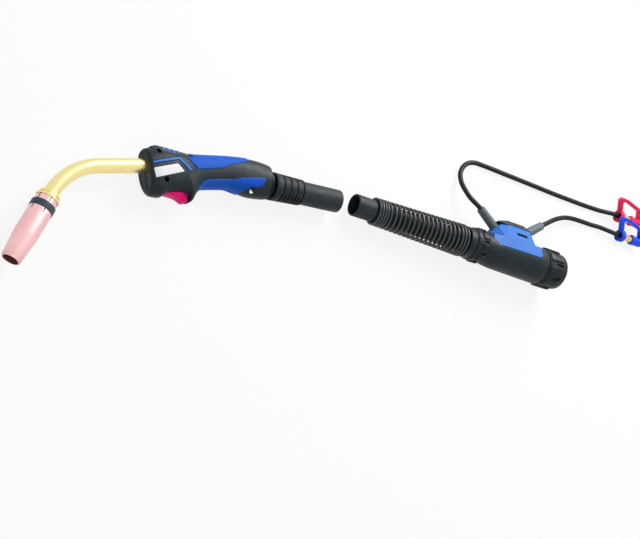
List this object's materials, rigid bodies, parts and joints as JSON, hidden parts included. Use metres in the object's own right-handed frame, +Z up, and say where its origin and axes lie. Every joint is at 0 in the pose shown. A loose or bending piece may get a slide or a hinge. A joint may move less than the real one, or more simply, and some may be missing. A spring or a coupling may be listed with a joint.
{
  "type": "mig welding torch",
  "caption": "Hand welding torch with a bent neck, a two-part handle with a trigger, a swivel cable joint, and a machine-end plug with a coupling nut and coolant hoses.",
  "frame": {"origin": "on the table under the torch, at the centre of the footprint of the whole part without its coolant hoses and their couplings", "axes": "+X from the handle towards the machine end, +Y towards the top of the torch as it lies on its side, +Z up from the table through the torch from its right side to its left"},
  "size_m": [0.9681, 0.1912, 0.0532],
  "materials": {
    "nozzle_copper": "satin",
    "ring_steel": "satin",
    "tip_copper": "satin",
    "neck_brass": "polished",
    "diffuser_ceramic": "matte",
    "liner_steel": "satin",
    "inner_brass": "satin",
    "inner_plastic": "matte",
    "lead_rubber": "matte",
    "core_rubber": "matte",
    "shell_plastic": "satin",
    "grip_rubber": "matte",
    "accent_plastic": "satin",
    "plate_plastic": "satin",
    "trigger_plastic": "gloss",
    "plunger_plastic": "gloss",
    "bright_steel": "satin",
    "joint_plastic": "satin",
    "boot_rubber": "matte",
    "hose_rubber": "matte",
    "spring_steel": "satin",
    "gland_rubber": "matte",
    "seal_rubber": "matte",
    "coolant_rubber": "matte",
    "clip_red": "matte",
    "clip_blue": "matte"
  },
  "bodies": {
    "root": {"contact_tip": "tip_copper", "tip_holder": "neck_brass", "gas_diffuser": "diffuser_ceramic", "neck_collar": "neck_brass", "swan_neck": "neck_brass", "neck_core": "tip_copper", "wire_liner": "liner_steel", "neck_clamp": "inner_plastic", "neck_block": "inner_brass", "lead_bundle": "lead_rubber", "handle_left": "shell_plastic", "handle_right": "shell_plastic", "grip_upper_left": "grip_rubber", "grip_upper_right": "grip_rubber", "grip_lower_left": "grip_rubber", "grip_lower_right": "grip_rubber", "stripe_left": "accent_plastic", "stripe_right": "accent_plastic", "plate_left": "plate_plastic", "plate_right": "plate_plastic", "top_pad": "shell_plastic", "pad_ridge_set": "accent_plastic", "trigger_pin": "bright_steel", "trigger_spring": "liner_steel", "micro_switch": "inner_plastic", "handle_screws": "bright_steel", "handle_nuts": "bright_steel"},
    "nozzle": {"gas_nozzle": "nozzle_copper", "nozzle_ring": "ring_steel"},
    "trigger": {"trigger": "trigger_plastic"},
    "plunger": {"switch_plunger": "plunger_plastic"},
    "swivel": {"swivel_ring": "joint_plastic"},
    "cable_end": {"knuckle_ball": "joint_plastic", "cable_boot": "boot_rubber", "torch_hose": "hose_rubber", "torch_core": "core_rubber"},
    "machine_end": {"machine_hose": "hose_rubber", "machine_core": "core_rubber", "cable_spring": "spring_steel", "spring_collar": "joint_plastic", "connector_housing": "shell_plastic", "hose_saddle": "accent_plastic", "saddle_cap": "joint_plastic", "saddle_screw": "bright_steel", "gland_front": "gland_rubber", "gland_rear": "gland_rubber", "plug_body": "inner_plastic", "central_plug": "inner_brass", "plug_seal": "seal_rubber", "coolant_hose_red": "coolant_rubber", "coolant_hose_blue": "coolant_rubber", "coupling_plug_red": "inner_brass", "coupling_plug_blue": "inner_brass", "coupling_clip_red": "clip_red", "coupling_clip_blue": "clip_blue"},
    "front_ring": {"front_ring": "joint_plastic"},
    "union_nut": {"union_nut": "joint_plastic"},
    "pin_upper": {"contact_pin_upper": "inner_brass"},
    "pin_lower": {"contact_pin_lower": "inner_brass"}
  },
  "joints": [
    {"name": "nozzle_pull", "type": "slide", "parent": "root", "child": "nozzle", "axis": [-0.6157, -0.788, 0], "range_m": [0, 0.08]},
    {"name": "trigger_pull", "type": "hinge", "parent": "root", "child": "trigger", "pos_m": [-0.1929, 0.0475, 0.0175], "axis": [0, 0, 1], "range_deg": [0, 7], "stiffness_Nm_per_rad": 0.4, "springref_deg": -6.88},
    {"name": "switch_press", "type": "slide", "parent": "root", "child": "plunger", "axis": [0, 1, 0], "range_m": [0, 0.0013]},
    {"name": "handle_swivel", "type": "hinge", "parent": "root", "child": "swivel", "pos_m": [-0.0682, 0.0532, 0.0175], "axis": [0.9785, -0.2062, 0], "range_deg": [-60, 60]},
    {"name": "cable_swing", "type": "hinge", "parent": "swivel", "child": "cable_end", "pos_m": [-0.0682, 0.0532, 0.0175], "axis": [0, 0, 1], "range_deg": [-14, 14]},
    {"name": "machine_slide", "type": "slide", "parent": "root", "child": "machine_end", "axis": [0.9521, -0.3057, 0], "range_m": [0, 0.15]},
    {"name": "front_ring_turn", "type": "hinge", "parent": "machine_end", "child": "front_ring", "pos_m": [0.24013, -0.03029, 0.02266], "axis": [0.9515, -0.3055, 0.0353], "range_deg": [0, 180]},
    {"name": "union_nut_spin", "type": "hinge", "parent": "machine_end", "child": "union_nut", "pos_m": [0.35355, -0.06671, 0.02686], "axis": [0.9515, -0.3055, 0.0353], "continuous": true},
    {"name": "pin_upper_press", "type": "slide", "parent": "machine_end", "child": "pin_upper", "axis": [-0.9515, 0.3055, -0.0353], "range_m": [0, 0.0025], "stiffness_N_per_m": 800, "springref_m": -0.002},
    {"name": "pin_lower_press", "type": "slide", "parent": "machine_end", "child": "pin_lower", "axis": [-0.9515, 0.3055, -0.0353], "range_m": [0, 0.0025], "stiffness_N_per_m": 800, "springref_m": -0.002}
  ],
  "couplings": [
    {"joint": "switch_press", "follows": "trigger_pull", "m_per_rad": 0.010553}
  ]
}
